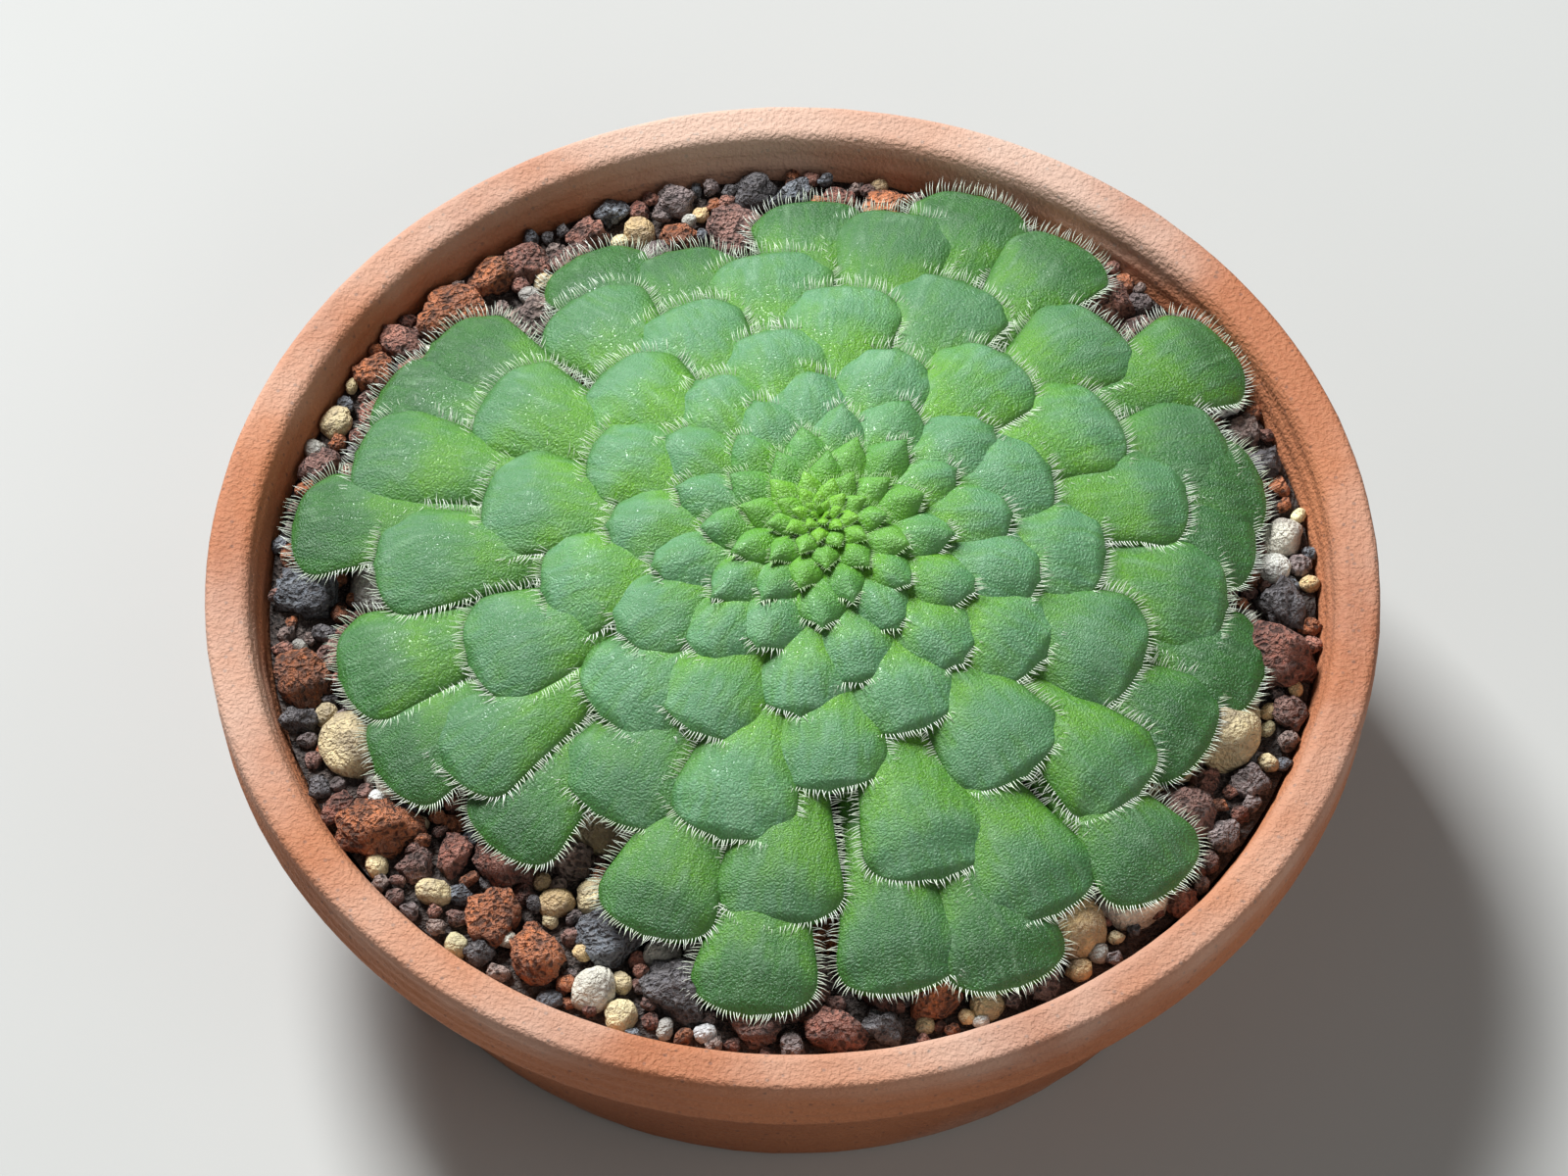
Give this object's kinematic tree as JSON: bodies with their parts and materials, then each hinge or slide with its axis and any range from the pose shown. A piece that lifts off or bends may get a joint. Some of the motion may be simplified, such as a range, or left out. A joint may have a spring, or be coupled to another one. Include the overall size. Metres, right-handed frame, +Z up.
{
  "type": "potted dinner plate aeonium",
  "caption": "Flat rosette succulent of overlapping spade-shaped leaves, planted in a plain round clay pan dressed with lava gravel.",
  "frame": {"origin": "middle of the pan's foot, on the surface it stands on", "axes": "+Z up along the pan's axis, -Y to the front, +X to the right"},
  "size_m": [0.211, 0.211, 0.0817],
  "materials": {
    "clay": "unglazed fired clay, matt, with a faint lime bloom",
    "soil": "dark gritty potting mix",
    "lava": "porous lava gravel in red-brown, orange, grey and cream",
    "leaf": "matt succulent leaf with a waxy bloom and a fringe of white hairs"
  },
  "bodies": {
    "root": {"pot": "clay", "soil": "soil", "lava_gravel": "lava", "rosette": "leaf"}
  },
  "joints": []
}
